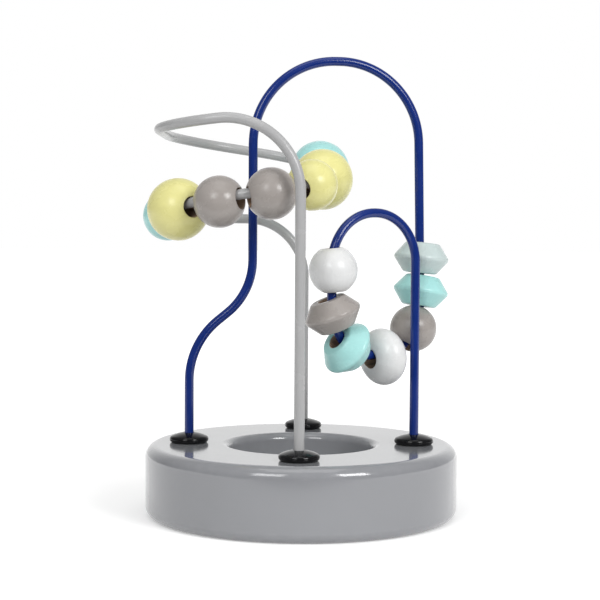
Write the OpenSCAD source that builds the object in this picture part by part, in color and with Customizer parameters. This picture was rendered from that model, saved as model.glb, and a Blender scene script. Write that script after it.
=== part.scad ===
// Bead maze: two bent wires with rows of bored wooden beads, standing on a ring base
// The origin is the middle of the underside, with Z up and the front foot of the grey wire toward -Y

/* [Base] */
// Outer diameter of the ring
base_d = 125; // [120:1:140]
// Height of the ring
base_h = 28.5; // [26:0.5:36]
// Diameter of the hole through the middle
hole_d = 57.5; // [48:0.5:62]
// Round of the outer edge at the top
top_round = 4.5; // [2:0.5:6]
// Round of the outer edge at the bottom
bottom_round = 4; // [2:0.5:6]
// Round of the hole's edge at the top
rim_round = 3; // [1:0.5:4]
// Round of the hole's edge at the bottom
hole_foot_round = 2; // [1:0.5:4]
// Radius of the circle that the wire feet stand on
leg_r = 45.2; // [44:0.1:47]

/* [Collars] */
// Diameter of a dome collar
collar_d = 15.7; // [14:0.1:18]
// Height of a dome collar
collar_h = 4.2; // [3.6:0.1:6]
// Radius of the collar's rounded rim
collar_rim = 1.4; // [1:0.1:1.7]
// Diameter of the spigot under the collar
spigot_d = 9; // [7:0.1:11]
// Length of the spigot under the collar
spigot_h = 6; // [3:0.5:9]

/* [Wire ends] */
// Diameter of the recess under each foot
recess_d = 12; // [11:0.5:14]
// Depth of the recess under each foot
recess_h = 9; // [7:0.5:12]
// Diameter of a washer
washer_d = 9; // [8.5:0.1:10.5]
// Thickness of a washer
washer_h = 0.8; // [0.5:0.1:1.2]
// Width of a nut across its flats
nut_af = 7; // [6.5:0.1:8]
// Height of a nut
nut_h = 3.2; // [2.4:0.1:4]
// Length of wire past the nut
end_proud = 1.5; // [0.5:0.1:2]

/* [Blue wire] */
// Thickness of the blue wire
blue_d = 3.65; // [3.2:0.05:4]
// Height of the corner where the left leg jogs inward
knee_z = 68.3; // [60:0.5:76]
// Height of the corner where the left leg turns up again
shoulder_z = 89.1; // [84:0.5:96]
// Distance of the tall leg to the left of the middle
tall_leg_x = 19.9; // [16:0.1:24]
// Height of the tall arch's corners
tall_z = 181.8; // [170:0.5:195]
// Distance of the tall arch's far side to the right of the right foot
tall_far_x = 1; // [-3.2:0.1:4.8]
// Distance of the loop's back leg to the right of the right foot, at its lower end
loop_back_x = 3.2; // [-1.2:0.1:6.8]
// Distance of the loop's back leg behind the middle
loop_back_y = 15; // [14.8:0.1:20]
// Distance of the loop's front leg to the left of the right foot
loop_front_x = 33.4; // [29.2:0.1:37.2]
// Distance of the loop's front leg before the middle
loop_front_y = 23; // [19:0.1:27]
// Height of the loop's bottom corners
loop_z = 65; // [60:0.5:70]
// Height of the small arch's corners
small_z = 121.2; // [114:0.5:128]
// Bend radius where the left leg jogs inward
knee_r = 31.5; // [20:0.5:34]
// Bend radius where the left leg turns up again
shoulder_r = 27.3; // [20:0.5:32]
// Bend radius at the loop's bottom
loop_r = 22; // [18:0.5:23.5]
// Straight stretch on top of each arch
arch_flat = 0.6; // [0.4:0.1:4]

/* [Grey wire] */
// Thickness of the grey wire
grey_d = 4; // [3.6:0.05:4.4]
// Height of the corner above the front foot
grey_front_z = 159.7; // [154:0.1:166]
// Height of the upper turn's front left corner
upper_front_z = 153.4; // [150:0.1:158]
// Height of the upper turn's back left corner
upper_back_z = 151.6; // [148:0.1:156]
// Height of the back right corner, where the upper turn ends
turn_back_z = 141.8; // [138:0.1:146]
// Height of the front right corner, where the lower turn starts
turn_front_z = 131.7; // [128:0.1:136]
// Height of the lower turn's front left corner
lower_front_z = 123.8; // [120:0.1:128]
// Height of the lower turn's back left corner
lower_back_z = 118.4; // [115:0.1:122]
// Height of the corner above the back foot
grey_back_z = 118; // [114:0.1:124]
// Distance of the upper turn's left side from the middle
upper_left_x = 55.4; // [52:0.1:60]
// Distance of the lower turn's left side from the middle
lower_left_x = 54.5; // [52:0.1:60]
// Distance of the upper turn's front side before the middle
upper_front_y = 41.2; // [38:0.1:45]
// Distance of the upper turn's back left corner behind the middle
upper_back_y = 38.9; // [36:0.1:42]
// Distance of the back right corner to the right of the middle
turn_back_x = 11.4; // [8:0.1:15]
// Distance of the back right corner behind the middle
turn_back_y = 49.3; // [46:0.1:53]
// Distance of the front right corner to the right of the middle
turn_front_x = 5; // [3:0.1:8]
// Distance of the lower turn's front side before the middle
lower_front_y = 34.4; // [32:0.1:37]
// Bend radius above the front foot
grey_front_r = 28; // [22:0.5:30]
// Bend radius of the upper turn's front left corner
upper_front_r = 26; // [20:0.5:29]
// Bend radius of the upper turn's back left corner
upper_back_r = 31.8; // [24:0.5:34]
// Bend radius of the back right corner
turn_back_r = 26.6; // [20:0.5:28]
// Bend radius of the front right corner
turn_front_r = 24.2; // [20:0.5:25]
// Bend radius of the lower turn's front left corner
lower_front_r = 37; // [30:0.5:37.5]
// Bend radius of the lower turn's back left corner
lower_back_r = 28; // [20:0.5:29]
// Bend radius above the back foot
grey_back_r = 24.5; // [18:0.5:25.5]

/* [Beads] */
// Diameter of the large balls
big_d = 24.4; // [22:0.1:26]
// Diameter of the small balls on the grey wire
small_d = 20; // [18:0.1:21.5]
// Diameter of the balls on the blue wire
loop_ball_d = 19; // [17:0.1:20.5]
// Diameter of the double cones
bicone_d = 22.4; // [20:0.1:24]
// Length of the double cones
bicone_len = 12.5; // [11:0.1:13.5]
// Diameter of a double cone's flat ends
bicone_flat_d = 13.6; // [11:0.1:15]
// Radius of a double cone's rounded rim
bicone_rim = 1.6; // [0.8:0.1:2.4]
// Diameter of the white oval
oval_d = 22.9; // [20:0.1:25]
// Length of the white oval, before its hole is drilled
oval_len = 15.4; // [13:0.1:17]
// Diameter of the hole through the beads on the grey wire
grey_bore_d = 8; // [7:0.1:8.6]
// Diameter of the hole through the beads on the blue wire
blue_bore_d = 7.6; // [6.8:0.1:8.2]
// Width of the eased edge at each end of a hole
bore_lip = 0.5; // [0.3:0.1:0.8]
// Gap between the left and the right row on the grey wire
row_gap = 0.2; // [0.1:0.1:4]
// Distance of the last bead of the right row before the lower turn's front left bend
row_lead = 7; // [4:0.1:10]

/* [Hidden] */
// Clearance of the collars, washers and nuts on what they fit
fit_gap = 0.1;
// Least gap between a wire and the hole of a bead that hangs on it
seat_gap = 0.3;
// Gap between beads that rest on each other
bead_gap = 0.3;
// Overrun of a cut past the face that it cuts
over = 1;
// Length by which the straights of a wire run into its bends
lap = 0.3;
// Extra thickness of a wire in its bends
bend_swell = 0.02;
// Steps of the search for the next bead along a wire
search_steps = 26;
$fn = 64;

// Heights of the hidden fixings, from the recess down
washer_z = recess_h - washer_h;
nut_z = washer_z - nut_h;
wire_end_z = nut_z - end_proud;

// Places of the feet: left, right, front, back
LEFT = [-leg_r, 0, 0];
RIGHT = [leg_r, 0, 0];
FRONT = [0, -leg_r, 0];
BACK = [0, leg_r, 0];
FEET = [[LEFT, blue_d], [RIGHT, blue_d], [FRONT, grey_d], [BACK, grey_d]];

// Corners of the blue wire, from the left foot to the right foot
tall_far = [leg_r + tall_far_x, loop_back_y, tall_z];
tall_near = [-tall_leg_x, 0, tall_z];
loop_back = [leg_r + loop_back_x, loop_back_y, loop_z];
small_near = [leg_r - loop_front_x, -loop_front_y, small_z];
small_far = [leg_r, 0, small_z];
blue_path = [
    [-leg_r, 0, wire_end_z],
    [-leg_r, 0, knee_z],
    [-tall_leg_x, 0, shoulder_z],
    tall_near,
    tall_far,
    loop_back,
    [leg_r - loop_front_x, -loop_front_y, loop_z],
    small_near,
    small_far,
    [leg_r, 0, wire_end_z]
];
tall_r = (norm(tall_far - tall_near) - arch_flat) / 2;
small_r = (norm(small_far - small_near) - arch_flat) / 2;
blue_bends = [0, knee_r, shoulder_r, tall_r, tall_r * tall_trim(), loop_r, loop_r, small_r, small_r, 0];

// Corners of the grey wire, from the front foot to the back foot
grey_path = [
    [0, -leg_r, wire_end_z],
    [0, -leg_r, grey_front_z],
    [-upper_left_x, -upper_front_y, upper_front_z],
    [-upper_left_x, upper_back_y, upper_back_z],
    [turn_back_x, turn_back_y, turn_back_z],
    [turn_front_x, -lower_front_y, turn_front_z],
    [-lower_left_x, -lower_front_y, lower_front_z],
    [-lower_left_x, leg_r, lower_back_z],
    [0, leg_r, grey_back_z],
    [0, leg_r, wire_end_z]
];
grey_bends = [0, grey_front_r, upper_front_r, upper_back_r, turn_back_r, turn_front_r,
    lower_front_r, lower_back_r, grey_back_r, 0];

// The far leg of the tall arch leans, so its bend is a little tighter for the same flat
function tall_trim() = 1 / tan(acos(unit(tall_near - tall_far) * unit(loop_back - tall_far)) / 2);

// Geometry of a path with rounded corners
function unit(v) = v / norm(v);
function is_end(path, i) = i == 0 || i == len(path) - 1;
function turn(path, i) = acos(unit(path[i] - path[i - 1]) * unit(path[i + 1] - path[i]));
function setback(path, bends, i) = is_end(path, i) ? 0 : bends[i] * tan(turn(path, i) / 2);
function bend_in(path, bends, i) =
    i == 0 ? path[0] : path[i] + unit(path[i - 1] - path[i]) * setback(path, bends, i);
function bend_out(path, bends, i) =
    i == len(path) - 1 ? path[i] : path[i] + unit(path[i + 1] - path[i]) * setback(path, bends, i);
function bend_centre(path, bends, i) =
    path[i] + unit(unit(path[i - 1] - path[i]) + unit(path[i + 1] - path[i]))
        * norm([bends[i], setback(path, bends, i)]);
function straight_len(path, bends, i) = norm(bend_in(path, bends, i + 1) - bend_out(path, bends, i));
function bend_len(path, bends, i) = is_end(path, i) ? 0 : bends[i] * turn(path, i) * PI / 180;
// Length of wire from its start to the start of bend i
function length_to(path, bends, i) = i == 0 ? 0 :
    length_to(path, bends, i - 1) + bend_len(path, bends, i - 1) + straight_len(path, bends, i - 1);
// Point on the wire at length s, counted from the end of bend i
function point_at(path, bends, s, i = 0) =
    let (run = straight_len(path, bends, i), arc = bend_len(path, bends, i + 1))
    s <= run || i == len(path) - 2
        ? bend_out(path, bends, i) + unit(path[i + 1] - path[i]) * s
        : s <= run + arc
            ? bend_point(path, bends, i + 1, (s - run) / bends[i + 1] * 180 / PI)
            : point_at(path, bends, s - run - arc, i + 1);
function bend_point(path, bends, i, angle) =
    let (
        c = bend_centre(path, bends, i),
        out = bend_in(path, bends, i) - c,
        along = unit(path[i] - path[i - 1])
    )
    c + out * cos(angle) + along * bends[i] * sin(angle);

// Seat of a bead of the given length at s: its centre, its axis and the side that it hangs to
function chord_axis(path, bends, s, size) =
    unit(point_at(path, bends, s + size / 2) - point_at(path, bends, s - size / 2));
function chord_middle(path, bends, s, size) =
    (point_at(path, bends, s + size / 2) + point_at(path, bends, s - size / 2)) / 2;
function across(v, axis) = unit(v - axis * (v * axis));
function lean_axis(axis, normal, lean) = unit(axis * cos(lean) + cross(normal, axis) * sin(lean));

// Half the width of a wire inside a hole, where the wire curves away from the hole's axis
function half_width(d, rise, size) = d / 2 / cos(2 * atan(rise / (size / 2)));

// A ball on the grey wire hangs straight down by the play that its hole leaves
function grey_seat(s, d) =
    let (
        size = sqrt(d * d - grey_bore_d * grey_bore_d),
        axis = chord_axis(grey_path, grey_bends, s, size),
        on_wire = point_at(grey_path, grey_bends, s),
        middle = chord_middle(grey_path, grey_bends, s, size),
        rise = norm(on_wire - middle),
        play = grey_bore_d / 2 - half_width(grey_d, rise, size) - seat_gap,
        side = across([0, 0, -1], axis)
    )
    [(on_wire + middle) / 2 + side * sqrt(max(0, play * play - rise * rise / 4)), axis, side];

// A bead on the blue wire leans in the loop's plane and hangs outward from the loop by a share of its play
loop_normal = unit(cross(blue_path[5] - blue_path[4], blue_path[6] - blue_path[5]));
function blue_seat(s, size, lean, hang_share) =
    let (
        axis = lean_axis(chord_axis(blue_path, blue_bends, s, size), loop_normal, lean),
        on_wire = point_at(blue_path, blue_bends, s),
        middle = chord_middle(blue_path, blue_bends, s, size),
        rise = norm(on_wire - middle),
        free = blue_bore_d * cos(lean) / 2 - half_width(blue_d, rise, size) - size * sin(abs(lean)) / 2,
        side = unit(cross(axis, loop_normal))
    )
    [(on_wire + middle) / 2 + side * hang_share * max(0, free - rise / 2 - seat_gap), axis, side];

// Balls on the grey wire from the back of the right row to the end of the left row
GREY_SIZES = [big_d, big_d, small_d, small_d, small_d, big_d, small_d];
RIGHT_ROW_END = 3;
function grey_pitch(k) =
    (GREY_SIZES[k] + GREY_SIZES[k + 1]) / 2 + (k == RIGHT_ROW_END ? row_gap : bead_gap);
function grey_next(s, k, way, pitch, low, high, steps) =
    let (
        middle = (low + high) / 2,
        reached = norm(grey_seat(s + way * middle, GREY_SIZES[k + way])[0] - grey_seat(s, GREY_SIZES[k])[0])
    )
    steps == 0 ? s + way * middle
        : reached < pitch ? grey_next(s, k, way, pitch, middle, high, steps - 1)
        : grey_next(s, k, way, pitch, low, middle, steps - 1);
function grey_place(k) =
    k == RIGHT_ROW_END ? length_to(grey_path, grey_bends, 6) - row_lead
        : k < RIGHT_ROW_END
            ? grey_next(grey_place(k + 1), k + 1, -1, grey_pitch(k), 0, grey_pitch(k) * 2, search_steps)
            : grey_next(
                grey_place(k - 1), k - 1, 1, grey_pitch(k - 1), 0, grey_pitch(k - 1) * 2, search_steps);

// Beads on the blue wire from the top of the back leg, round the loop and up the front leg
oval_hole_len = oval_len * sqrt(1 - pow(blue_bore_d / oval_d, 2));
loop_ball_len = sqrt(loop_ball_d * loop_ball_d - blue_bore_d * blue_bore_d);
BLUE_SIZES = [bicone_len, bicone_len, loop_ball_len, oval_hole_len, bicone_len, bicone_len, loop_ball_len];
// Lean of each bead from its wire in the loop's plane, in degrees
BLUE_LEANS = [6, 9, 0, 0, 0, -7, -3];
// Share of its play by which each bead hangs outward from the loop
hang_shares = [1, 1, 1, 1, 1, 1, -0.5];
// Distance between neighbours as a share of half their lengths together
blue_pitch_shares = [1.08, 1.06, 1.33, 1.58, 1.27, 1.14];
// Place of the oval along the straight bottom of the loop
oval_place_share = 0.9;
OVAL = 3;
function blue_pitch(k) = (BLUE_SIZES[k] + BLUE_SIZES[k + 1]) / 2 * blue_pitch_shares[k];
function blue_bead(s, k) = blue_seat(s, BLUE_SIZES[k], BLUE_LEANS[k], hang_shares[k]);
function blue_next(s, k, way, pitch, low, high, steps) =
    let (
        middle = (low + high) / 2,
        reached = norm(blue_bead(s + way * middle, k + way)[0] - blue_bead(s, k)[0])
    )
    steps == 0 ? s + way * middle
        : reached < pitch ? blue_next(s, k, way, pitch, middle, high, steps - 1)
        : blue_next(s, k, way, pitch, low, middle, steps - 1);
function blue_place(k) =
    k == OVAL
        ? length_to(blue_path, blue_bends, 6) - straight_len(blue_path, blue_bends, 5) * oval_place_share
        : k < OVAL
            ? blue_next(blue_place(k + 1), k + 1, -1, blue_pitch(k), 0, blue_pitch(k) * 2, search_steps)
            : blue_next(
                blue_place(k - 1), k - 1, 1, blue_pitch(k - 1), 0, blue_pitch(k - 1) * 2, search_steps);

// Frame with its origin at o, its Z axis along w and its X axis along u
module place(o, w, u) {
    v = cross(w, u);
    multmatrix([[u.x, v.x, w.x, o.x], [u.y, v.y, w.y, o.y], [u.z, v.z, w.z, o.z], [0, 0, 0, 1]]) children();
}
function any_side(w) = across(abs(w.z) < 0.9 ? [0, 0, 1] : [1, 0, 0], w);

// Bent wire
module wire(path, bends, d) {
    last = len(path) - 1;
    for (i = [0 : last - 1]) wire_straight(path, bends, d, i);
    for (i = [1 : last - 1]) wire_bend(path, bends, d, i);
}

module wire_straight(path, bends, d, i) {
    start = bend_out(path, bends, i);
    w = unit(path[i + 1] - path[i]);
    lap_in = i == 0 ? 0 : lap;
    lap_out = i == len(path) - 2 ? 0 : lap;
    run = straight_len(path, bends, i) + lap_in + lap_out;
    place(start - w * lap_in, w, any_side(w)) cylinder(d = d, h = run);
}

module wire_bend(path, bends, d, i) {
    c = bend_centre(path, bends, i);
    u = unit(bend_in(path, bends, i) - c);
    w = cross(u, unit(path[i] - path[i - 1]));
    place(c, w, u)
        rotate_extrude(angle = turn(path, i))
            translate([bends[i], 0]) circle(d = d + bend_swell);
}

// Hole along Z through a bead whose hole is size long, with eased edges
module bore(size, d) {
    wide = d / 2 + bore_lip + over;
    high = size / 2 + over;
    ease = size / 2 - bore_lip;
    rotate_extrude()
        polygon([[0, -high], [wide, -high], [d / 2, -ease], [d / 2, ease], [wide, high], [0, high]]);
}

module ball(d, bore_d) {
    difference() {
        sphere(d = d);
        bore(sqrt(d * d - bore_d * bore_d), bore_d);
    }
}

module oval() {
    difference() {
        scale([1, 1, oval_len / oval_d]) sphere(d = oval_d);
        bore(oval_hole_len, blue_bore_d);
    }
}

// Half outline of a double cone: the flanks run from the flat ends to touch the rounded rim
module bicone_outline() {
    corner = [bicone_flat_d / 2, bicone_len / 2];
    rim = [bicone_d / 2 - bicone_rim, 0];
    to_rim = rim - corner;
    swing = asin(bicone_rim / norm(to_rim));
    along = unit(to_rim);
    flank = [along.x * cos(swing) - along.y * sin(swing), along.x * sin(swing) + along.y * cos(swing)];
    touch = corner + flank * norm(to_rim) * cos(swing);
    point = touch - flank * touch.y / flank.y;
    difference() {
        polygon([[0, corner.y], corner, point, [corner.x, -corner.y], [0, -corner.y]]);
        difference() {
            polygon([rim, touch, [point.x + over, touch.y], [point.x + over, -touch.y], [touch.x, -touch.y]]);
            translate(rim) circle(r = bicone_rim);
        }
    }
}

module bicone() {
    difference() {
        rotate_extrude() bicone_outline();
        bore(bicone_len, blue_bore_d);
    }
}

module on_grey(k) {
    seat = grey_seat(grey_place(k), GREY_SIZES[k]);
    place(seat[0], seat[1], seat[2]) ball(GREY_SIZES[k], grey_bore_d);
}

module on_blue(k) {
    seat = blue_bead(blue_place(k), k);
    place(seat[0], seat[1], seat[2]) children();
}

// Waste between an outer corner and the round that replaces it
module corner_waste(outer, centre, r) {
    low = [min(outer.x, centre.x), min(outer.y, centre.y)];
    difference() {
        translate(low) square([abs(outer.x - centre.x), abs(outer.y - centre.y)]);
        translate(centre) circle(r = r);
    }
}

// Ring base with a stepped hole for each foot
module base_outline() {
    out = base_d / 2;
    in = hole_d / 2;
    difference() {
        translate([in, 0]) square([out - in, base_h]);
        corner_waste([out + over, base_h + over], [out - top_round, base_h - top_round], top_round);
        corner_waste([out + over, -over], [out - bottom_round, bottom_round], bottom_round);
        corner_waste([in - over, -over], [in + hole_foot_round, hole_foot_round], hole_foot_round);
        corner_waste([in - over, base_h + over], [in + rim_round, base_h - rim_round], rim_round);
    }
}

module foot_hole(wire_d) {
    translate([0, 0, -over]) cylinder(d = recess_d, h = recess_h + over);
    cylinder(d = wire_d + fit_gap * 2, h = base_h);
    translate([0, 0, base_h - spigot_h - fit_gap])
        cylinder(d = spigot_d + fit_gap * 2, h = spigot_h + fit_gap + over);
}

module base_ring() {
    color("silver") difference() {
        rotate_extrude() base_outline();
        for (foot = FEET) translate(foot[0]) foot_hole(foot[1]);
    }
}

// Dome collar: a crown that runs smoothly into a rounded rim, on a spigot
module collar_outline() {
    rim = [collar_d / 2 - collar_rim, collar_rim];
    rise = collar_h - collar_rim;
    crown_r = (rim.x * rim.x + rise * rise - collar_rim * collar_rim) / (rise - collar_rim) / 2;
    crown_z = collar_h - crown_r;
    touch_x = rim.x * crown_r / (crown_r - collar_rim);
    touch_z = crown_z + (rim.y - crown_z) * crown_r / (crown_r - collar_rim);
    translate(rim) circle(r = collar_rim);
    square([rim.x, touch_z]);
    intersection() {
        translate([0, crown_z]) circle(r = crown_r);
        polygon([[0, 0], [rim.x, 0], [touch_x, touch_z], [touch_x, collar_h], [0, collar_h]]);
    }
}

module collar(foot, wire_d) {
    color("black") translate(foot + [0, 0, base_h]) difference() {
        union() {
            rotate_extrude() collar_outline();
            translate([0, 0, -spigot_h]) cylinder(d = spigot_d, h = spigot_h + collar_rim);
        }
        translate([0, 0, -spigot_h - over])
            cylinder(d = wire_d + fit_gap * 2, h = spigot_h + collar_h + over * 2);
    }
}

module collar_left() { collar(LEFT, blue_d); }
module collar_right() { collar(RIGHT, blue_d); }
module collar_front() { collar(FRONT, grey_d); }
module collar_back() { collar(BACK, grey_d); }

// Wires
module blue_wire() { color("midnightblue") wire(blue_path, blue_bends, blue_d); }
module grey_wire() { color("darkgray") wire(grey_path, grey_bends, grey_d); }

// Fixings under the base
module fixing(foot, z, h) {
    translate(foot[0] + [0, 0, z]) difference() {
        linear_extrude(h) children();
        translate([0, 0, -over]) cylinder(d = foot[1] + fit_gap * 2, h = h + over * 2);
    }
}

module anchor_washers() {
    color("gainsboro") for (foot = FEET) fixing(foot, washer_z, washer_h) circle(d = washer_d);
}

module anchor_nuts() {
    color("gray") for (foot = FEET) fixing(foot, nut_z, nut_h) circle(d = nut_af / cos(30), $fn = 6);
}

// Beads on the grey wire
module mint_ball_back() { color("powderblue") on_grey(0); }
module yellow_ball_right() { color("khaki") on_grey(1); }
module yellow_ball_small() { color("khaki") on_grey(2); }
module taupe_ball_right() { color("rosybrown") on_grey(3); }
module taupe_ball_left() { color("rosybrown") on_grey(4); }
module yellow_ball_left() { color("khaki") on_grey(5); }
module mint_ball_left() { color("powderblue") on_grey(6); }

// Beads on the blue wire
module pale_bicone() { color("lightgray") on_blue(0) bicone(); }
module mint_bicone_upper() { color("powderblue") on_blue(1) bicone(); }
module taupe_ball_loop() { color("rosybrown") on_blue(2) ball(loop_ball_d, blue_bore_d); }
module white_oval() { color("white") on_blue(3) oval(); }
module mint_bicone_lower() { color("powderblue") on_blue(4) bicone(); }
module taupe_bicone() { color("rosybrown") on_blue(5) bicone(); }
module white_ball() { color("white") on_blue(6) ball(loop_ball_d, blue_bore_d); }

base_ring();
collar_left();
collar_right();
collar_front();
collar_back();
blue_wire();
grey_wire();
anchor_washers();
anchor_nuts();
mint_ball_back();
yellow_ball_right();
yellow_ball_small();
taupe_ball_right();
taupe_ball_left();
yellow_ball_left();
mint_ball_left();
pale_bicone();
mint_bicone_upper();
taupe_ball_loop();
white_oval();
mint_bicone_lower();
taupe_bicone();
white_ball();
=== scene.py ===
import math

import bmesh
import bpy
import numpy as np
from mathutils import Euler, Matrix, Vector, noise


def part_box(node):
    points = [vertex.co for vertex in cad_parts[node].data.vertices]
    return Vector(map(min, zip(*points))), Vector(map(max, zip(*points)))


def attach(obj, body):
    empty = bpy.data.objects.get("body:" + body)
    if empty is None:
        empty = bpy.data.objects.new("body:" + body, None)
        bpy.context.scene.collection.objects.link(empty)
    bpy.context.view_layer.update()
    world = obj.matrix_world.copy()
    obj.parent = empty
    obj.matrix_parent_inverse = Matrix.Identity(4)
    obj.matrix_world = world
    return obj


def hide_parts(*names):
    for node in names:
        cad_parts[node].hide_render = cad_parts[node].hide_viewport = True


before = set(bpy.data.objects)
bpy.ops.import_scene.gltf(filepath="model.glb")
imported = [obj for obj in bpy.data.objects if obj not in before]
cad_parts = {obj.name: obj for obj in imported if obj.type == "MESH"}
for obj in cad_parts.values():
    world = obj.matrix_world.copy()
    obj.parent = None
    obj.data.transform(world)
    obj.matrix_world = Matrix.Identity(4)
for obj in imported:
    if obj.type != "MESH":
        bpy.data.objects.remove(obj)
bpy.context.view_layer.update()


# Ring base
# One thick ring, moulded in plastic with soft edges and sprayed with a glossy grey lacquer.
# Four stepped holes take the collars from above and the wire ends and nuts from below.
MM = 0.001
BASE_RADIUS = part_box("base_ring")[1].x
BASE_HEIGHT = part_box("base_ring")[1].z
HOLE_RADIUS = 28.75 * MM
OUTER_TOP_ROUND = 4.5 * MM
OUTER_FOOT_ROUND = 4 * MM
HOLE_TOP_ROUND = 3 * MM
HOLE_FOOT_ROUND = 2 * MM
FLAT_EDGE_BAND = 0.4 * MM
FOOT_CIRCLE = 45.2 * MM
RECESS_RADIUS = 6 * MM
RECESS_DEPTH = 9 * MM
WIRE_HOLE_RADIUS = 2.1 * MM
SPIGOT_HOLE_RADIUS = 4.6 * MM
SPIGOT_HOLE_DEPTH = 6.1 * MM
CUT_OVERRUN = 1 * MM
BASE_SIDES = 256
HOLE_SIDES = 64
ROUND_STEPS = 14
SHARP_ANGLE = math.radians(35)
BASE_GREY = (0.255, 0.26, 0.275, 1)
# Lighter grey on the rounded edges: lacquer thinned there, and partly a painted sheen
RUBBED_AND_SHEEN_GREY = (0.46, 0.46, 0.47, 1)
LACQUER_COAT = 0.55
LACQUER_COAT_ROUGHNESS = 0.1
BREAKS_PER_CLOUD = 6
FEET = {
    "left": Vector((-FOOT_CIRCLE, 0, 0)),
    "right": Vector((FOOT_CIRCLE, 0, 0)),
    "front": Vector((0, -FOOT_CIRCLE, 0)),
    "back": Vector((0, FOOT_CIRCLE, 0)),
}


def round_corner(centre, radius, start, stop, steps):
    """Points of an arc as (radius, height), from one angle to another, in degrees."""
    angles = [math.radians(start + (stop - start) * i / steps) for i in range(steps + 1)]
    return [(centre[0] + radius * math.cos(a), centre[1] + radius * math.sin(a)) for a in angles]


def turned_mesh(
        name, outline, sides, marks, centre=Vector(), axis=Vector((0, 0, 1)), dip=0, waves=0, seed=0):
    """A closed outline of (radius, height) turned round an axis, marked for paint cover and for paler edges:
    thinned paint and a painted sheen.
    """
    shape = bmesh.new()
    cover = shape.verts.layers.float.new("paint_cover")
    rub_and_sheen = shape.verts.layers.float.new("rubbed_and_sheen")
    space = shape.verts.layers.float_vector.new("own_space")
    stand = axis.to_track_quat("Z", "Y").to_matrix()
    rings = []
    for i in range(sides):
        turn = math.tau * i / sides
        ring = []
        for (radius, height), (paint, worn_and_sheen) in zip(outline, marks):
            own = Vector((radius * math.cos(turn), radius * math.sin(turn), height))
            if dip:
                wave = noise.noise(own * waves + Vector((seed, 0, 0)))
                own *= 1 - dip * (0.5 + 0.5 * wave) * paint
            vert = shape.verts.new(centre + stand @ own)
            vert[cover] = paint
            vert[rub_and_sheen] = worn_and_sheen
            vert[space] = own
            ring.append(vert)
        rings.append(ring)
    for ring, following in zip(rings, rings[1:] + rings[:1]):
        for j in range(len(outline)):
            k = (j + 1) % len(outline)
            shape.faces.new((ring[j], following[j], following[k], ring[k])).smooth = True
    bmesh.ops.recalc_face_normals(shape, faces=shape.faces)
    mesh = bpy.data.meshes.new(name)
    shape.to_mesh(mesh)
    shape.free()
    return mesh


def add_object(name, mesh, material=None):
    """An object at the origin that holds a finished mesh."""
    if material:
        mesh.materials.clear()
        mesh.materials.append(material)
    piece = bpy.data.objects.new(name, mesh)
    bpy.context.scene.collection.objects.link(piece)
    return piece


def as_plain_mesh(worked, name):
    """The finished mesh of a worked object, without its modifiers, in a new object."""
    graph = bpy.context.evaluated_depsgraph_get()
    mesh = bpy.data.meshes.new_from_object(worked.evaluated_get(graph))
    mesh.name = name
    bpy.data.objects.remove(worked)
    return add_object(name, mesh)


def new_group(name, inputs, outputs, kind="ShaderNodeTree"):
    """An empty node group with named sockets, and its input and output nodes."""
    group = bpy.data.node_groups.new(name, kind)
    for label, socket in inputs:
        group.interface.new_socket(label, in_out="INPUT", socket_type=socket)
    for label, socket in outputs:
        group.interface.new_socket(label, in_out="OUTPUT", socket_type=socket)
    return group, group.nodes.new("NodeGroupInput"), group.nodes.new("NodeGroupOutput")


def add_node(tree, kind, links=None, **settings):
    """A node with its properties and its plain inputs set, and other sockets linked into it."""
    node = tree.nodes.new(kind)
    for label, value in settings.items():
        setattr(node, label, value)
    for label, value in (links or {}).items():
        if isinstance(value, bpy.types.NodeSocket):
            tree.links.new(value, node.inputs[label])
        else:
            node.inputs[label].default_value = value
    return node


def scaled(tree, value, times, plus):
    """A value times one number plus another, as a socket."""
    node = add_node(tree, "ShaderNodeMath", {0: value, 1: times, 2: plus}, operation="MULTIPLY_ADD")
    return node.outputs[0]


def mix_colours(tree, share, one, other):
    """A colour that goes from one to another by a share, as a socket."""
    node = add_node(tree, "ShaderNodeMix", {0: share, 6: one, 7: other}, data_type="RGBA")
    return node.outputs[2]


def sprayed_skin():
    """Sprayed paint: slow changes of tone and gloss, and a fine orange peel."""
    group, given, result = new_group(
        "sprayed_skin",
        [
            ("Coordinates", "NodeSocketVector"),
            ("Colour", "NodeSocketColor"),
            ("Tone Spread", "NodeSocketFloat"),
            ("Cloud Scale", "NodeSocketFloat"),
            ("Peel Scale", "NodeSocketFloat"),
            ("Gloss Low", "NodeSocketFloat"),
            ("Gloss High", "NodeSocketFloat"),
        ],
        [("Colour", "NodeSocketColor"), ("Roughness", "NodeSocketFloat"), ("Height", "NodeSocketFloat")],
    )
    cloud = add_node(group, "ShaderNodeTexNoise", {
        "Vector": given.outputs["Coordinates"], "Scale": given.outputs["Cloud Scale"], "Detail": 3})
    peel = add_node(group, "ShaderNodeTexNoise", {
        "Vector": given.outputs["Coordinates"], "Scale": given.outputs["Peel Scale"], "Detail": 2})
    centred = add_node(group, "ShaderNodeMath", {0: cloud.outputs["Fac"], 1: 0.5}, operation="SUBTRACT")
    tone = scaled(group, centred.outputs[0], given.outputs["Tone Spread"], 1)
    shade = add_node(group, "ShaderNodeHueSaturation", {"Value": tone, "Color": given.outputs["Colour"]})
    gloss = add_node(group, "ShaderNodeMapRange", {
        "Value": cloud.outputs["Fac"], "From Min": 0.3, "From Max": 0.7,
        "To Min": given.outputs["Gloss Low"], "To Max": given.outputs["Gloss High"]})
    group.links.new(shade.outputs["Color"], result.inputs["Colour"])
    group.links.new(gloss.outputs["Result"], result.inputs["Roughness"])
    group.links.new(peel.outputs["Fac"], result.inputs["Height"])
    return group


SPRAYED_SKIN = sprayed_skin()


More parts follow.
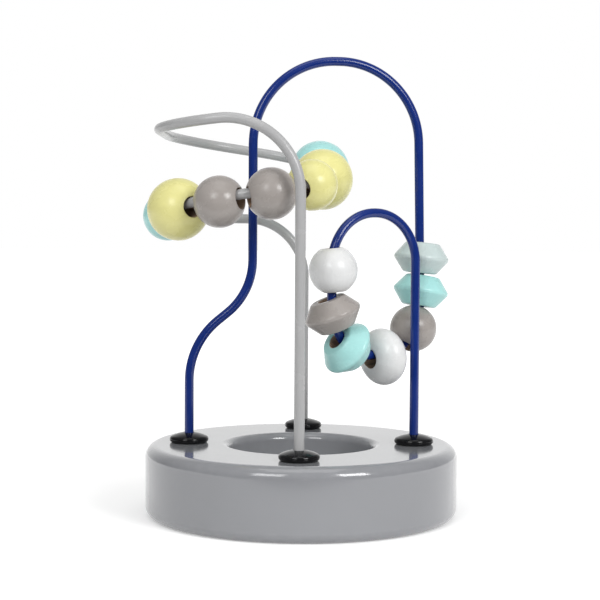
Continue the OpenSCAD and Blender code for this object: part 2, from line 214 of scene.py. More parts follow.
def rubbed_and_sheen_edge():
    """Paint made paler on edges, in broken patches: partly paint thinned there, partly a painted sheen where
    the edges catch light.
    """
    group, given, result = new_group(
        "rubbed_and_sheen_edge",
        [
            ("Coordinates", "NodeSocketVector"),
            ("Rubbed And Sheen", "NodeSocketFloat"),
            ("Colour", "NodeSocketColor"),
            ("Worn And Sheen Colour", "NodeSocketColor"),
            ("Break Scale", "NodeSocketFloat"),
            ("Amount", "NodeSocketFloat"),
        ],
        [("Colour", "NodeSocketColor")],
    )
    broken = add_node(group, "ShaderNodeTexNoise", {
        "Vector": given.outputs["Coordinates"], "Scale": given.outputs["Break Scale"], "Detail": 4})
    strength = add_node(group, "ShaderNodeMapRange", {
        "Value": broken.outputs["Fac"], "From Min": 0.42, "From Max": 0.7, "To Min": 0, "To Max": 1})
    # Paler edges: partly thinned paint, partly a painted sheen
    worn_and_sheen = add_node(group, "ShaderNodeMath", {
        0: strength.outputs["Result"], 1: given.outputs["Rubbed And Sheen"]}, operation="MULTIPLY")
    mask = add_node(group, "ShaderNodeMath", {
        0: worn_and_sheen.outputs[0], 1: given.outputs["Amount"]}, operation="MULTIPLY")
    mixed = mix_colours(group, mask.outputs[0], given.outputs["Colour"], given.outputs["Worn And Sheen Colour"])
    group.links.new(mixed, result.inputs["Colour"])
    return group


RUBBED_AND_SHEEN_EDGE = rubbed_and_sheen_edge()


def use_group(tree, group, links):
    """A shared effect placed in a material with its own values."""
    return add_node(tree, "ShaderNodeGroup", links, node_tree=group)


def new_material(name):
    """A material with its tree and its shader."""
    material = bpy.data.materials.new(name)
    material.use_nodes = True
    tree = material.node_tree
    return material, tree, tree.nodes["Principled BSDF"]


def link_finish(tree, shader, colour, roughness, height, depth):
    """Links a finish's colour, roughness and height into its shader."""
    bump = add_node(tree, "ShaderNodeBump", {"Strength": 1, "Distance": depth, "Height": height})
    tree.links.new(colour, shader.inputs["Base Color"])
    tree.links.new(roughness, shader.inputs["Roughness"])
    tree.links.new(bump.outputs["Normal"], shader.inputs["Normal"])


def painted_finish(name, colour, tone, cloud, peel, gloss, peel_depth, worn_and_sheen_colour=None, wear_and_sheen=0):
    """Sprayed paint on a rigid piece, paler on its edges where an edge colour is given: thinned paint and a
    painted sheen.
    """
    material, tree, shader = new_material(name)
    place = tree.nodes.new("ShaderNodeTexCoord")
    skin = use_group(tree, SPRAYED_SKIN, {
        "Coordinates": place.outputs["Object"], "Colour": colour, "Tone Spread": tone,
        "Cloud Scale": cloud, "Peel Scale": peel, "Gloss Low": gloss[0], "Gloss High": gloss[1]})
    paint = skin.outputs["Colour"]
    if worn_and_sheen_colour:
        rubbed_and_sheen = add_node(tree, "ShaderNodeAttribute", attribute_name="rubbed_and_sheen")
        edge = use_group(tree, RUBBED_AND_SHEEN_EDGE, {
            "Coordinates": place.outputs["Object"], "Rubbed And Sheen": rubbed_and_sheen.outputs["Fac"],
            "Colour": paint, "Worn And Sheen Colour": worn_and_sheen_colour,
            "Break Scale": cloud * BREAKS_PER_CLOUD, "Amount": wear_and_sheen})
        paint = edge.outputs["Colour"]
    link_finish(tree, shader, paint, skin.outputs["Roughness"], skin.outputs["Height"], peel_depth)
    return material


def base_outline():
    """Outline of the ring, from the hole's lower edge round the outside to the hole's upper edge."""
    inner, outer, high, band = HOLE_RADIUS, BASE_RADIUS, BASE_HEIGHT, FLAT_EDGE_BAND
    foot = [(inner + HOLE_FOOT_ROUND + band, 0), (outer - OUTER_FOOT_ROUND - band, 0)]
    foot_round = round_corner(
        (outer - OUTER_FOOT_ROUND, OUTER_FOOT_ROUND), OUTER_FOOT_ROUND, -90, 0, ROUND_STEPS)
    side = [(outer, OUTER_FOOT_ROUND + band), (outer, high - OUTER_TOP_ROUND - band)]
    top_round = round_corner(
        (outer - OUTER_TOP_ROUND, high - OUTER_TOP_ROUND), OUTER_TOP_ROUND, 0, 90, ROUND_STEPS)
    top = [(outer - OUTER_TOP_ROUND - band, high), (inner + HOLE_TOP_ROUND + band, high)]
    rim = round_corner(
        (inner + HOLE_TOP_ROUND, high - HOLE_TOP_ROUND), HOLE_TOP_ROUND, 90, 180, ROUND_STEPS)
    wall = [(inner, high - HOLE_TOP_ROUND - band), (inner, HOLE_FOOT_ROUND + band)]
    hole_foot = round_corner(
        (inner + HOLE_FOOT_ROUND, HOLE_FOOT_ROUND), HOLE_FOOT_ROUND, 180, 270, ROUND_STEPS)
    # A mark is (paint cover, paler edge); the paler edge is thinned paint and partly a painted sheen
    edge, plain = (1, 1), (1, 0)
    outline, marks = [], []
    for run, mark in ((foot, plain), (foot_round, edge), (side, plain), (top_round, edge),
                      (top, plain), (rim, edge), (wall, plain), (hole_foot, edge)):
        outline += run
        marks += [mark] * len(run)
    return outline, marks


def foot_cutter(foot):
    """The stepped hole under one wire foot, as a solid to cut with."""
    top = BASE_HEIGHT + CUT_OVERRUN
    step = BASE_HEIGHT - SPIGOT_HOLE_DEPTH
    steps = [
        (RECESS_RADIUS, -CUT_OVERRUN), (RECESS_RADIUS, RECESS_DEPTH), (WIRE_HOLE_RADIUS, RECESS_DEPTH),
        (WIRE_HOLE_RADIUS, step), (SPIGOT_HOLE_RADIUS, step), (SPIGOT_HOLE_RADIUS, top)]
    solid = bmesh.new()
    rings = []
    for i in range(HOLE_SIDES):
        turn = math.tau * i / HOLE_SIDES
        rings.append([
            solid.verts.new(foot + Vector((r * math.cos(turn), r * math.sin(turn), z)))
            for r, z in steps])
    for ring, following in zip(rings, rings[1:] + rings[:1]):
        for j in range(len(ring) - 1):
            solid.faces.new((ring[j], following[j], following[j + 1], ring[j + 1]))
    solid.faces.new([ring[0] for ring in rings])
    solid.faces.new([ring[-1] for ring in rings])
    bmesh.ops.recalc_face_normals(solid, faces=solid.faces)
    mesh = bpy.data.meshes.new("foot_cutter")
    solid.to_mesh(mesh)
    solid.free()
    return add_object("foot_cutter", mesh)


outline, marks = base_outline()
ring_blank = add_object("ring_blank", turned_mesh("ring_blank", outline, BASE_SIDES, marks))
cutters = [foot_cutter(foot) for foot in FEET.values()]
for cutter in cutters:
    cut = ring_blank.modifiers.new("foot_hole", "BOOLEAN")
    cut.operation = "DIFFERENCE"
    cut.solver = "EXACT"
    cut.object = cutter
ring_base = as_plain_mesh(ring_blank, "ring_base")
for cutter in cutters:
    bpy.data.objects.remove(cutter)
ring_base.data.shade_smooth()
ring_base.data.set_sharp_from_angle(angle=SHARP_ANGLE)
# The lacquer turns lighter grey on the rounded edges, partly as a painted sheen
base_lacquer = painted_finish(
    "base_lacquer", BASE_GREY, tone=0.08, cloud=45, peel=700, gloss=(0.1, 0.16), peel_depth=0.00001,
    worn_and_sheen_colour=RUBBED_AND_SHEEN_GREY, wear_and_sheen=0.06)
base_shader = base_lacquer.node_tree.nodes["Principled BSDF"]
base_shader.inputs["Coat Weight"].default_value = LACQUER_COAT
base_shader.inputs["Coat Roughness"].default_value = LACQUER_COAT_ROUGHNESS
ring_base.data.materials.clear()
ring_base.data.materials.append(base_lacquer)
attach(ring_base, "stand")
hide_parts("base_ring")


# Dome collars
# Four black plastic domes, moulded with a rounded rim and a spigot, pressed into the base at each foot.
# The wire passes through the middle and hides the spigot's hole.
COLLAR_RADIUS = 7.85 * MM
COLLAR_HEIGHT = 4.2 * MM
COLLAR_RIM = 1.4 * MM
COLLAR_BORE = 2.08 * MM
COLLAR_LIP = 0.35 * MM
LIP_TOP_SHARE = 0.3
LIP_DROP_SHARE = 0.7
SPIGOT_RADIUS = 4.5 * MM
SPIGOT_LENGTH = 6 * MM
COLLAR_SIDES = 96
COLLAR_BLACK = (0.005, 0.005, 0.006, 1)
# Dark grey on the rounded rim: thinned finish, and partly a painted sheen
RUBBED_AND_SHEEN_BLACK = (0.012, 0.012, 0.013, 1)
COLLAR_SHINE = 0.3


def collar_outline():
    """Outline of a collar: its bore, spigot, underside, rounded rim and crown."""
    rim_x, rim_z = COLLAR_RADIUS - COLLAR_RIM, COLLAR_RIM
    rise = COLLAR_HEIGHT - COLLAR_RIM
    crown = (rim_x ** 2 + rise ** 2 - COLLAR_RIM ** 2) / (rise - COLLAR_RIM) / 2
    crown_z = COLLAR_HEIGHT - crown
    touch = math.degrees(math.atan2(rim_z - crown_z, rim_x))
    lip_angle = math.degrees(math.acos((COLLAR_BORE + COLLAR_LIP) / crown))
    under = [
        (COLLAR_BORE, -SPIGOT_LENGTH), (SPIGOT_RADIUS, -SPIGOT_LENGTH), (SPIGOT_RADIUS, 0)]
    rim = round_corner((rim_x, rim_z), COLLAR_RIM, -90, touch, ROUND_STEPS)
    dome = round_corner((0, crown_z), crown, touch, lip_angle, ROUND_STEPS * 2)[1:]
    lip_top = dome[-1][1]
    lip = [
        (COLLAR_BORE + COLLAR_LIP * LIP_TOP_SHARE, lip_top),
        (COLLAR_BORE, lip_top - COLLAR_LIP * LIP_DROP_SHARE)]
    outline = under + rim + dome + lip
    marks = [(1, 0)] * len(under) + [(1, 1)] * len(rim) + [(1, 0)] * (len(dome) + len(lip))
    return outline, marks


def end_in_finish(tree, made, given, result):
    """Ends a tree in real geometry with its finish set."""
    real = add_node(tree, "GeometryNodeRealizeInstances", {"Geometry": made})
    finish = add_node(tree, "GeometryNodeSetMaterial", {
        "Geometry": real.outputs["Geometry"], "Material": given.outputs["Finish"]})
    tree.links.new(finish.outputs["Geometry"], result.inputs["Geometry"])


def feet_tree():
    """Geometry Nodes: one fitting set on each foot of the base, at a height."""
    tree, given, result = new_group(
        "set_on_feet",
        [
            ("Geometry", "NodeSocketGeometry"),
            ("Circle Radius", "NodeSocketFloat"),
            ("Feet", "NodeSocketInt"),
            ("Height", "NodeSocketFloat"),
            ("Finish", "NodeSocketMaterial"),
        ],
        [("Geometry", "NodeSocketGeometry")],
        "GeometryNodeTree",
    )
    circle = add_node(tree, "GeometryNodeMeshCircle", {
        "Vertices": given.outputs["Feet"], "Radius": given.outputs["Circle Radius"]})
    lift = add_node(tree, "ShaderNodeCombineXYZ", {"Z": given.outputs["Height"]})
    raised = add_node(tree, "GeometryNodeSetPosition", {
        "Geometry": circle.outputs["Mesh"], "Offset": lift.outputs["Vector"]})
    stood = add_node(tree, "GeometryNodeInstanceOnPoints", {
        "Points": raised.outputs["Geometry"], "Instance": given.outputs["Geometry"]})
    end_in_finish(tree, stood.outputs["Instances"], given, result)
    return tree


FEET_TREE = feet_tree()


def set_inputs(modifier, values):
    """Sets a tree's named inputs by their identifiers."""
    for item in modifier.node_group.interface.items_tree:
        if item.in_out == "INPUT" and item.name in values:
            modifier[item.identifier] = values[item.name]


def set_on_feet(name, mesh, height, finish):
    """Four copies of a fitting, one on each foot, as one plain mesh."""
    master = add_object(name + "_master", mesh)
    spread = master.modifiers.new("feet", "NODES")
    spread.node_group = FEET_TREE
    set_inputs(spread, {
        "Circle Radius": FOOT_CIRCLE, "Feet": len(FEET), "Height": height, "Finish": finish})
    return as_plain_mesh(master, name)


# The black is a little lighter on the rim, partly as a painted sheen
collar_plastic = painted_finish(
    "collar_plastic", COLLAR_BLACK, tone=0.3, cloud=160, peel=2200, gloss=(0.1, 0.16), peel_depth=0.000006,
    worn_and_sheen_colour=RUBBED_AND_SHEEN_BLACK, wear_and_sheen=0.4)
collar_shader = collar_plastic.node_tree.nodes["Principled BSDF"]
collar_shader.inputs["Specular IOR Level"].default_value = COLLAR_SHINE
outline, marks = collar_outline()
dome_collars = set_on_feet(
    "dome_collars", turned_mesh("dome_collar", outline, COLLAR_SIDES, marks), BASE_HEIGHT, collar_plastic)
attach(dome_collars, "stand")
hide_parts("collar_left", "collar_right", "collar_front", "collar_back")


# Bent wires
# Two steel wires, bent in a jig and dipped in enamel: blue for arches and loop, grey for the spiral.
# Their ends go down through the collars and the base.
BLUE_THICKNESS = 3.65 * MM
GREY_THICKNESS = 4 * MM
# Corners of the wires' middle lines and radii of their bends, in millimetres
WIRE_END = 3.5
BLUE_CORNERS = [
    (-45.2, 0, WIRE_END), (-45.2, 0, 68.3), (-19.9, 0, 89.1), (-19.9, 0, 181.8), (46.2, 15, 181.8),
    (48.4, 15, 65), (11.8, -23, 65), (11.8, -23, 121.2), (45.2, 0, 121.2), (45.2, 0, WIRE_END)]
BLUE_BENDS = [31.5, 27.3, 33.59, 32.98, 22, 22, 19.97, 19.97]
GREY_CORNERS = [
    (0, -45.2, WIRE_END), (0, -45.2, 159.7), (-55.4, -41.2, 153.4), (-55.4, 38.9, 151.6),
    (11.4, 49.3, 141.8), (5, -34.4, 131.7), (-54.5, -34.4, 123.8), (-54.5, 45.2, 118.4),
    (0, 45.2, 118), (0, 45.2, WIRE_END)]
GREY_BENDS = [28, 26, 31.8, 26.6, 24.2, 37, 28, 24.5]
BEND_STEP = math.radians(3)
WIRE_SIDES = 40
ENAMEL_BLUE = (0.003, 0.022, 0.175, 1)
ENAMEL_GREY = (0.405, 0.405, 0.408, 1)


def bent_line(corners, bends):
    """Points of a wire's middle line: straight runs between rounded corners, in metres."""
    corners = [Vector(c) * MM for c in corners]
    line = [corners[0]]
    for before, corner, after, bend in zip(corners, corners[1:], corners[2:], bends):
        radius = bend * MM
        back = (before - corner).normalized()
        on = (after - corner).normalized()
        turn = math.pi - back.angle(on)
        setback = radius * math.tan(turn / 2)
        centre = corner + (back + on).normalized() * math.hypot(radius, setback)
        out = (corner + back * setback - centre).normalized()
        steps = max(2, round(turn / BEND_STEP))
        for i in range(steps + 1):
            angle = turn * i / steps
            line.append(centre + radius * (out * math.cos(angle) - back * math.sin(angle)))
    return line + [corners[-1]]


def wire_tree():
    """Geometry Nodes: a round wire drawn along a line, with closed ends."""
    tree, given, result = new_group(
        "drawn_wire",
        [
            ("Geometry", "NodeSocketGeometry"),
            ("Thickness", "NodeSocketFloat"),
            ("Sides", "NodeSocketInt"),
            ("Finish", "NodeSocketMaterial"),
        ],
        [("Geometry", "NodeSocketGeometry")],
        "GeometryNodeTree",
    )
    half = add_node(tree, "ShaderNodeMath", {0: given.outputs["Thickness"], 1: 0.5}, operation="MULTIPLY")
    section = add_node(tree, "GeometryNodeCurvePrimitiveCircle", {
        "Resolution": given.outputs["Sides"], "Radius": half.outputs[0]})
    drawn = add_node(tree, "GeometryNodeCurveToMesh", {
        "Curve": given.outputs["Geometry"], "Profile Curve": section.outputs["Curve"], "Fill Caps": True})
    smooth = add_node(tree, "GeometryNodeSetShadeSmooth", {"Geometry": drawn.outputs["Mesh"]})
    end_in_finish(tree, smooth.outputs["Geometry"], given, result)
    return tree


WIRE_TREE = wire_tree()


def bent_wire(name, line, thickness, finish):
    """A wire of one thickness along a line of points."""
    route = bpy.data.curves.new(name + "_route", "CURVE")
    route.dimensions = "3D"
    spline = route.splines.new("POLY")
    spline.points.add(len(line) - 1)
    for point, place in zip(spline.points, line):
        point.co = (*place, 1)
    guide = bpy.data.objects.new(name + "_route", route)
    bpy.context.scene.collection.objects.link(guide)
    draw = guide.modifiers.new("drawn", "NODES")
    draw.node_group = WIRE_TREE
    set_inputs(draw, {"Thickness": thickness, "Sides": WIRE_SIDES, "Finish": finish})
    return as_plain_mesh(guide, name)


blue_enamel = painted_finish(
    "blue_enamel", ENAMEL_BLUE, tone=0.25, cloud=120, peel=1500, gloss=(0.14, 0.24), peel_depth=0.000012)
grey_enamel = painted_finish(
    "grey_enamel", ENAMEL_GREY, tone=0.1, cloud=120, peel=1500, gloss=(0.18, 0.3), peel_depth=0.000012)
arch_wire = bent_wire("arch_wire", bent_line(BLUE_CORNERS, BLUE_BENDS), BLUE_THICKNESS, blue_enamel)
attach(arch_wire, "stand")
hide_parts("blue_wire")
spiral_wire = bent_wire("spiral_wire", bent_line(GREY_CORNERS, GREY_BENDS), GREY_THICKNESS, grey_enamel)
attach(spiral_wire, "stand")
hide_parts("grey_wire")


# Washers and nuts under the base
# Zinc plated steel washers and nuts that hold the wire ends down in their recesses.
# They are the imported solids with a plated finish.
ZINC = (0.62, 0.63, 0.65, 1)
ZINC_GLOSS = (0.28, 0.48)
SCRATCH_DEPTH = 0.00001


def plated_finish(name, colour, gloss):
    """Zinc plate: a dull metal with patches of tone and fine scratches."""
    material, tree, shader = new_material(name)
    place = tree.nodes.new("ShaderNodeTexCoord")
    skin = use_group(tree, SPRAYED_SKIN, {
        "Coordinates": place.outputs["Object"], "Colour": colour, "Tone Spread": 0.4,
        "Cloud Scale": 900, "Peel Scale": 3500, "Gloss Low": gloss[0], "Gloss High": gloss[1]})
    shader.inputs["Metallic"].default_value = 1
    link_finish(
        tree, shader, skin.outputs["Colour"], skin.outputs["Roughness"], skin.outputs["Height"],
        SCRATCH_DEPTH)
    return material


zinc_plate = plated_finish("zinc_plate", ZINC, ZINC_GLOSS)
for node in ("anchor_washers", "anchor_nuts"):
    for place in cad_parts[node].material_slots:
        place.material = zinc_plate


# Beads
# Turned wooden balls, double cones and an oval, drilled and dipped in paint, with bare wood in the holes.
# They hang loose on the wires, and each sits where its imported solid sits.
GREY_BORE = 4 * MM
BLUE_BORE = 3.8 * MM
BORE_LIP = 0.6 * MM
BIG_BALL = 12.2 * MM
SMALL_BALL = 10 * MM
LOOP_BALL = 9.5 * MM
CONE_RADIUS = 11.2 * MM
CONE_LENGTH = 12.5 * MM
CONE_FLAT = 6.8 * MM
CONE_RIM = 1.6 * MM
CONE_EDGE = 0.8 * MM
OVAL_RADIUS = 11.45 * MM
OVAL_LENGTH = 15.4 * MM
BEAD_SIDES = 96
ARC_STEPS = 48
LIP_STEPS = 5
BORE_STEPS = 6
DIP_SCALE = 160
DIP_SHARE = 0.006
SEED_STEP = 7
CONE_TRIES = 20
FLANK_STEPS = 4
# Share of white in the paler paint on rims and lips: thinned paint, and partly a painted highlight
PALE_SHARE = 0.25
GRAIN_STRETCH = (1, 1, 0.09)
# Factor and offset of the grain's tone in paint and in bare wood, and of the paint's ragged edge
PAINT_STREAKS = (-0.04, 1.02)
WOOD_STREAKS = (-0.55, 1.2)
RAGGED_EDGE = (0.5, -0.25)
GRAIN_RELIEF = -0.35
PAINT_RELIEF = 0.000015
BARE_ROUGHNESS = 0.75
BARE_WOOD = (0.42, 0.29, 0.2, 1)
BEAD_COLOURS = {
    "mint": (0.39, 0.73, 0.71, 1),
    "yellow": (0.77, 0.73, 0.3, 1),
    "taupe": (0.345, 0.315, 0.295, 1),
    "pale": (0.53, 0.62, 0.61, 1),
    "white": (0.73, 0.735, 0.735, 1),
}


def seat_of(node):
    """Centre and axis of a bead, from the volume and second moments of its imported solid."""
    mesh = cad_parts[node].data
    mesh.calc_loop_triangles()
    points = np.array([v.co for v in mesh.vertices], float)
    corners = np.array([t.vertices for t in mesh.loop_triangles])
    middle = points.mean(0)
    a, b, c = (points[corners[:, i]] - middle for i in range(3))
    volume = np.einsum("ij,ij->i", a, np.cross(b, c)) / 6
    total = a + b + c
    centre = (volume[:, None] * total).sum(0) / 4 / volume.sum()
    a, b, c = a - centre, b - centre, c - centre
    volume = np.einsum("ij,ij->i", a, np.cross(b, c)) / 6
    total = a + b + c
    moment = sum(np.einsum("i,ij,ik->jk", volume, p, p) for p in (a, b, c, total)) / 20
    values, vectors = np.linalg.eigh(moment)
    odd = 0 if values[1] - values[0] > values[2] - values[1] else 2
    return Vector(middle + centre), Vector(vectors[:, odd])


def soft_corner(start, corner, stop, steps):
    """Points of an eased corner between two points, without its first point."""
    points = []
    for i in range(1, steps + 1):
        t = i / steps
        points.append(tuple(
            (1 - t) ** 2 * s + 2 * t * (1 - t) * k + t * t * e for s, k, e in zip(start, corner, stop)))
    return points


def bored_outline(flank, marks, bore):
    """Closes a bead's upper and lower flank with the wall of its hole."""
    top, bottom = flank[-1], flank[0]
    wall = [
        (bore, top[1] + (bottom[1] - top[1]) * i / BORE_STEPS) for i in range(1, BORE_STEPS)]
    return flank + wall, marks + [(0, 0)] * len(wall)


def round_outline(radius, half_length, bore):
    """A ball or an oval with eased edges at its hole."""
    last = math.acos((bore + BORE_LIP) / radius)
    arc = [
        (radius * math.cos(t), half_length * math.sin(t))
        for t in (last * (2 * i / ARC_STEPS - 1) for i in range(ARC_STEPS + 1))]
    end = arc[-1]
    rise = BORE_LIP * half_length * math.cos(last) / (radius * math.sin(last))
    lip = soft_corner(end, (bore, end[1] + rise), (bore, end[1] - BORE_LIP), LIP_STEPS)
    lower = [(r, -z) for r, z in reversed(lip)]
    cover = [(1 - (i + 1) / LIP_STEPS, 1) for i in range(LIP_STEPS)]
    marks = cover[::-1] + [(1, 0)] * len(arc) + cover
    return bored_outline(lower + arc + lip, marks, bore)


def cone_outline(bore):
    """A double cone with a rounded rim, eased flat ends and eased edges at its hole."""
    half = CONE_LENGTH / 2
    point = CONE_RADIUS
    for _ in range(CONE_TRIES):
        slope = math.atan2(half, point - CONE_FLAT)
        point = CONE_RADIUS - CONE_RIM + CONE_RIM / math.sin(slope)
    along = Vector((point - CONE_FLAT, -half)).normalized()
    reach = CONE_RIM / math.tan(slope)
    rim_stop = Vector((point, 0)) - along * reach
    swing = 90 - math.degrees(slope)
    rim = round_corner((point - CONE_RIM / math.sin(slope), 0), CONE_RIM, -swing, swing, ROUND_STEPS)
    corner = Vector((CONE_FLAT, half))
    edge_start = corner + along * CONE_EDGE
    straight = [
        tuple(rim_stop.lerp(edge_start, (i + 1) / FLANK_STEPS)) for i in range(FLANK_STEPS)]
    edge = soft_corner(straight[-1], tuple(corner), (CONE_FLAT - CONE_EDGE, half), LIP_STEPS)
    flat = [(bore + BORE_LIP, half)]
    lip = soft_corner(flat[0], (bore, half), (bore, half - BORE_LIP), LIP_STEPS)
    upper = straight + edge + flat + lip
    # Rims, edges and lips are marked for paler paint, partly a painted highlight
    cover = [(1 - (i + 1) / LIP_STEPS, 1) for i in range(LIP_STEPS)]
    upper_marks = [(1, 0)] * len(straight) + [(1, 1)] * len(edge) + [(1, 0)] + cover
    lower = [(r, -z) for r, z in reversed(upper)]
    marks = upper_marks[::-1] + [(1, 1)] * len(rim) + upper_marks
    return bored_outline(lower + rim + upper, marks, bore)


def turned_grain():
    """Wood grain that shows through paint: fine lines along the bead's axis."""
    group, given, result = new_group(
        "turned_grain",
        [("Coordinates", "NodeSocketVector"), ("Line Scale", "NodeSocketFloat")],
        [("Lines", "NodeSocketFloat")],
    )
    stretched = add_node(group, "ShaderNodeVectorMath", {
        0: given.outputs["Coordinates"], 1: GRAIN_STRETCH}, operation="MULTIPLY")
    fibres = add_node(group, "ShaderNodeTexNoise", {
        "Vector": stretched.outputs["Vector"], "Scale": given.outputs["Line Scale"],
        "Detail": 5, "Roughness": 0.6, "Distortion": 0.4})
    lines = add_node(group, "ShaderNodeMapRange", {
        "Value": fibres.outputs["Fac"], "From Min": 0.35, "From Max": 0.68, "To Min": 0, "To Max": 1})
    group.links.new(lines.outputs["Result"], result.inputs["Lines"])
    return group


TURNED_GRAIN = turned_grain()


def dipped_finish(name, colour):
    """Dipped paint on turned wood, with faint grain, paler rims and lips (thinned paint and a painted
    highlight) and bare wood in the hole.
    """
    material, tree, shader = new_material(name)
    own = add_node(tree, "ShaderNodeAttribute", attribute_name="own_space")
    cover = add_node(tree, "ShaderNodeAttribute", attribute_name="paint_cover")
    rubbed_and_sheen = add_node(tree, "ShaderNodeAttribute", attribute_name="rubbed_and_sheen")
    skin = use_group(tree, SPRAYED_SKIN, {
        "Coordinates": own.outputs["Vector"], "Colour": colour, "Tone Spread": 0.05,
        "Cloud Scale": 130, "Peel Scale": 700, "Gloss Low": 0.22, "Gloss High": 0.32})
    grain = use_group(tree, TURNED_GRAIN, {"Coordinates": own.outputs["Vector"], "Line Scale": 900})
    # Rims and lips turn paler, partly as a painted highlight
    pale = tuple(c + (1 - c) * PALE_SHARE for c in colour[:3]) + (1,)
    edge = use_group(tree, RUBBED_AND_SHEEN_EDGE, {
        "Coordinates": own.outputs["Vector"], "Rubbed And Sheen": rubbed_and_sheen.outputs["Fac"],
        "Colour": skin.outputs["Colour"], "Worn And Sheen Colour": pale, "Break Scale": 900, "Amount": 0.2})
    faint = scaled(tree, grain.outputs["Lines"], *PAINT_STREAKS)
    streaked = add_node(tree, "ShaderNodeHueSaturation", {"Value": faint, "Color": edge.outputs["Colour"]})
    bare_tone = scaled(tree, grain.outputs["Lines"], *WOOD_STREAKS)
    bare = add_node(tree, "ShaderNodeHueSaturation", {"Value": bare_tone, "Color": BARE_WOOD})
    ragged = scaled(tree, skin.outputs["Height"], *RAGGED_EDGE)
    reach = add_node(tree, "ShaderNodeMath", {0: cover.outputs["Fac"], 1: ragged}, operation="ADD")
    painted = add_node(tree, "ShaderNodeMapRange", {
        "Value": reach.outputs[0], "From Min": 0.3, "From Max": 0.5, "To Min": 0, "To Max": 1})
    colours = mix_colours(tree, painted.outputs["Result"], bare.outputs["Color"], streaked.outputs["Color"])
    gloss = add_node(tree, "ShaderNodeMix", {
        0: painted.outputs["Result"], 2: BARE_ROUGHNESS, 3: skin.outputs["Roughness"]})
    height = scaled(tree, grain.outputs["Lines"], GRAIN_RELIEF, skin.outputs["Height"])
    link_finish(tree, shader, colours, gloss.outputs[0], height, PAINT_RELIEF)
    return material


BEAD_FINISHES = {
    paint: dipped_finish(paint + "_bead_paint", colour) for paint, colour in BEAD_COLOURS.items()}
BIG_OUTLINE = round_outline(BIG_BALL, BIG_BALL, GREY_BORE)
SMALL_OUTLINE = round_outline(SMALL_BALL, SMALL_BALL, GREY_BORE)
LOOP_OUTLINE = round_outline(LOOP_BALL, LOOP_BALL, BLUE_BORE)
OVAL_OUTLINE = round_outline(OVAL_RADIUS, OVAL_LENGTH / 2, BLUE_BORE)
CONE_OUTLINE = cone_outline(BLUE_BORE)
BEADS = [
    ("mint_ball_back", "mint", BIG_OUTLINE), ("yellow_ball_right", "yellow", BIG_OUTLINE),
    ("yellow_ball_small", "yellow", SMALL_OUTLINE), ("taupe_ball_right", "taupe", SMALL_OUTLINE),
    ("taupe_ball_left", "taupe", SMALL_OUTLINE), ("yellow_ball_left", "yellow", BIG_OUTLINE),
    ("mint_ball_left", "mint", SMALL_OUTLINE), ("pale_bicone", "pale", CONE_OUTLINE),
    ("mint_bicone_upper", "mint", CONE_OUTLINE), ("taupe_ball_loop", "taupe", LOOP_OUTLINE),
    ("white_oval", "white", OVAL_OUTLINE), ("mint_bicone_lower", "mint", CONE_OUTLINE),
    ("taupe_bicone", "taupe", CONE_OUTLINE), ("white_ball", "white", LOOP_OUTLINE),
]
# Lean of a loose bead within the play of its hole, in degrees about X, Y and Z
BEAD_LEANS = {
    "yellow_ball_small": (-2.5, -10, -6.5), "yellow_ball_left": (3.5, -1.5, 4),
    "pale_bicone": (2.5, 3, 10), "mint_bicone_upper": (0.5, 1, -10.5),
    "white_oval": (5.5, 4.5, -5.5), "mint_bicone_lower": (0, -0.5, -10),
    "taupe_bicone": (-9, -7, 3), "white_ball": (0, -7, 0),
}
for number, (node, paint, (outline, marks)) in enumerate(BEADS):
    centre, axis = seat_of(node)
    lean = BEAD_LEANS.get(node, (0, 0, 0))
    axis.rotate(Euler([math.radians(angle) for angle in lean]))
    mesh = turned_mesh(
        node + "_turned", outline, BEAD_SIDES, marks, centre, axis, DIP_SHARE, DIP_SCALE, number * SEED_STEP)
    bead = add_object(node + "_turned", mesh, BEAD_FINISHES[paint])
    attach(bead, node)
    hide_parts(node)


# Floor, light and camera
# A white floor and backdrop, a dim room behind the camera, soft boxes above it, and the photograph's view.
# The floor and the backdrop show white to the camera, and the floor keeps the shadow.
FLOOR_REACH = 4
FLOOR_FRONT = -0.18
FLOOR_TONE = (0.86, 0.86, 0.86, 1)
NEAR_GLOW = 0.33
FAR_GLOW = 0.72
NEAR_REACH = 0.12
FAR_REACH = 0.7
ROOM_LIGHT = 0.53
DIM_ROOM = 0.1
BACKDROP_EDGE = 0.45
BACKDROP_MIDDLE = 0.95
CEILING_MIDDLE = 0.7
CEILING_LIGHT = 0.3
SOFT_BOXES = {
    "left_box": ((-0.35, -0.8, 0.55), 0.36, 2.2),
    "right_box": ((0.6, -0.7, 0.55), 0.36, 4.7),
    "top_box": ((0.0, -0.2, 1.1), 0.7, 2),
}
AIM = Vector((0, 0, 0.09))
CAMERA_PLACE = Vector((0.01095, -0.6399, 0.1227))
CAMERA_HEADING = math.radians(1.057)
CAMERA_PITCH = math.radians(86.732)
CAMERA_ROLL = math.radians(0.363)
CAMERA_LENS = 96.04
SENSOR_WIDTH = 36


def larger(tree, one, other):
    """The larger of two values."""
    return add_node(tree, "ShaderNodeMath", {0: one, 1: other}, operation="MAXIMUM")


def seen_rays(tree):
    """The kind of each ray, and a mask of those that see the white floor and backdrop."""
    path = tree.nodes.new("ShaderNodeLightPath")
    direct = larger(tree, path.outputs["Is Camera Ray"], path.outputs["Is Glossy Ray"])
    return path, larger(tree, direct.outputs[0], path.outputs["Is Transmission Ray"])


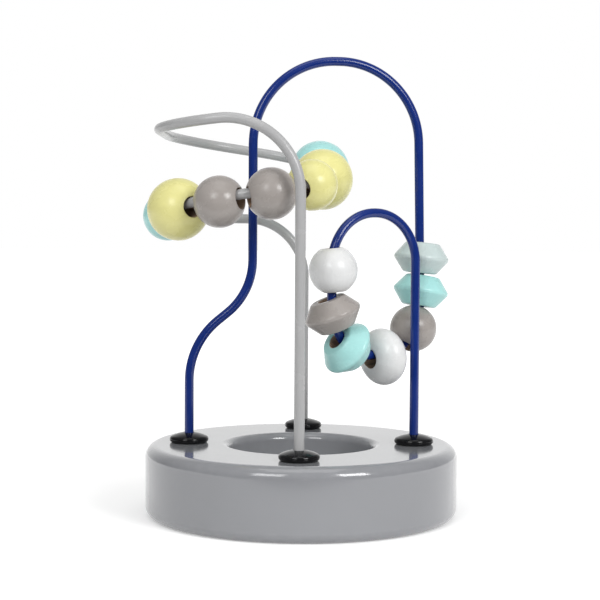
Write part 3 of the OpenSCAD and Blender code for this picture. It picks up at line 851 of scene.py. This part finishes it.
floor_mesh = bpy.data.meshes.new("floor")
corners = [
    (-FLOOR_REACH, FLOOR_FRONT, 0), (FLOOR_REACH, FLOOR_FRONT, 0),
    (FLOOR_REACH, FLOOR_REACH, 0), (-FLOOR_REACH, FLOOR_REACH, 0)]
floor_mesh.from_pydata(corners, [], [(0, 1, 2, 3)])
white_floor = bpy.data.materials.new("white_floor")
white_floor.use_nodes = True
tree = white_floor.node_tree
tree.nodes.clear()
_, shown = seen_rays(tree)
matt = add_node(tree, "ShaderNodeBsdfDiffuse", {"Color": FLOOR_TONE})
place = tree.nodes.new("ShaderNodeTexCoord")
away = add_node(tree, "ShaderNodeVectorMath", {0: place.outputs["Object"]}, operation="LENGTH")
rising = add_node(tree, "ShaderNodeMapRange", {
    "Value": away.outputs["Value"], "From Min": NEAR_REACH, "From Max": FAR_REACH,
    "To Min": NEAR_GLOW, "To Max": FAR_GLOW}, interpolation_type="SMOOTHSTEP")
level = add_node(tree, "ShaderNodeMath", {0: shown.outputs[0], 1: rising.outputs["Result"]},
                 operation="MULTIPLY")
glow = add_node(tree, "ShaderNodeEmission", {"Color": (1, 1, 1, 1), "Strength": level.outputs[0]})
both = add_node(tree, "ShaderNodeAddShader", {0: matt.outputs[0], 1: glow.outputs[0]})
add_node(tree, "ShaderNodeOutputMaterial", {"Surface": both.outputs[0]})
floor = add_object("floor", floor_mesh, white_floor)

room = bpy.data.worlds.new("white_room")
bpy.context.scene.world = room
room.use_nodes = True
tree = room.node_tree
tree.nodes.clear()
path, shown = seen_rays(tree)
light = add_node(tree, "ShaderNodeBackground", {"Color": (1, 1, 1, 1), "Strength": ROOM_LIGHT})
place = tree.nodes.new("ShaderNodeTexCoord")
sides = add_node(tree, "ShaderNodeSeparateXYZ", {"Vector": place.outputs["Generated"]})
backdrop = add_node(tree, "ShaderNodeMapRange", {
    "Value": sides.outputs["Y"], "From Min": BACKDROP_EDGE, "From Max": BACKDROP_MIDDLE,
    "To Min": DIM_ROOM, "To Max": 1})
ceiling = add_node(tree, "ShaderNodeMapRange", {
    "Value": sides.outputs["Z"], "From Min": 0, "From Max": CEILING_MIDDLE,
    "To Min": DIM_ROOM, "To Max": CEILING_LIGHT})
mirrored = larger(tree, backdrop.outputs["Result"], ceiling.outputs["Result"])
lit = larger(tree, mirrored.outputs[0], path.outputs["Is Camera Ray"])
white = add_node(tree, "ShaderNodeBackground", {"Color": (1, 1, 1, 1), "Strength": lit.outputs[0]})
either = add_node(tree, "ShaderNodeMixShader", {
    0: shown.outputs[0], 1: light.outputs[0], 2: white.outputs[0]})
add_node(tree, "ShaderNodeOutputWorld", {"Surface": either.outputs[0]})

for name, (place, size, power) in SOFT_BOXES.items():
    lamp = bpy.data.lights.new(name, "AREA")
    lamp.shape = "SQUARE"
    lamp.size = size
    lamp.energy = power
    box = bpy.data.objects.new(name, lamp)
    box.location = place
    box.rotation_euler = (AIM - Vector(place)).to_track_quat("-Z", "Y").to_euler()
    bpy.context.scene.collection.objects.link(box)

view = bpy.data.cameras.new("photograph_view")
view.lens = CAMERA_LENS
view.sensor_width = SENSOR_WIDTH
camera = bpy.data.objects.new("photograph_view", view)
bpy.context.scene.collection.objects.link(camera)
turn = (Matrix.Rotation(CAMERA_HEADING, 4, "Z") @ Matrix.Rotation(CAMERA_PITCH, 4, "X")
        @ Matrix.Rotation(CAMERA_ROLL, 4, "Z"))
camera.matrix_world = Matrix.Translation(CAMERA_PLACE) @ turn
bpy.context.scene.camera = camera
bpy.context.scene.view_settings.view_transform = "Standard"
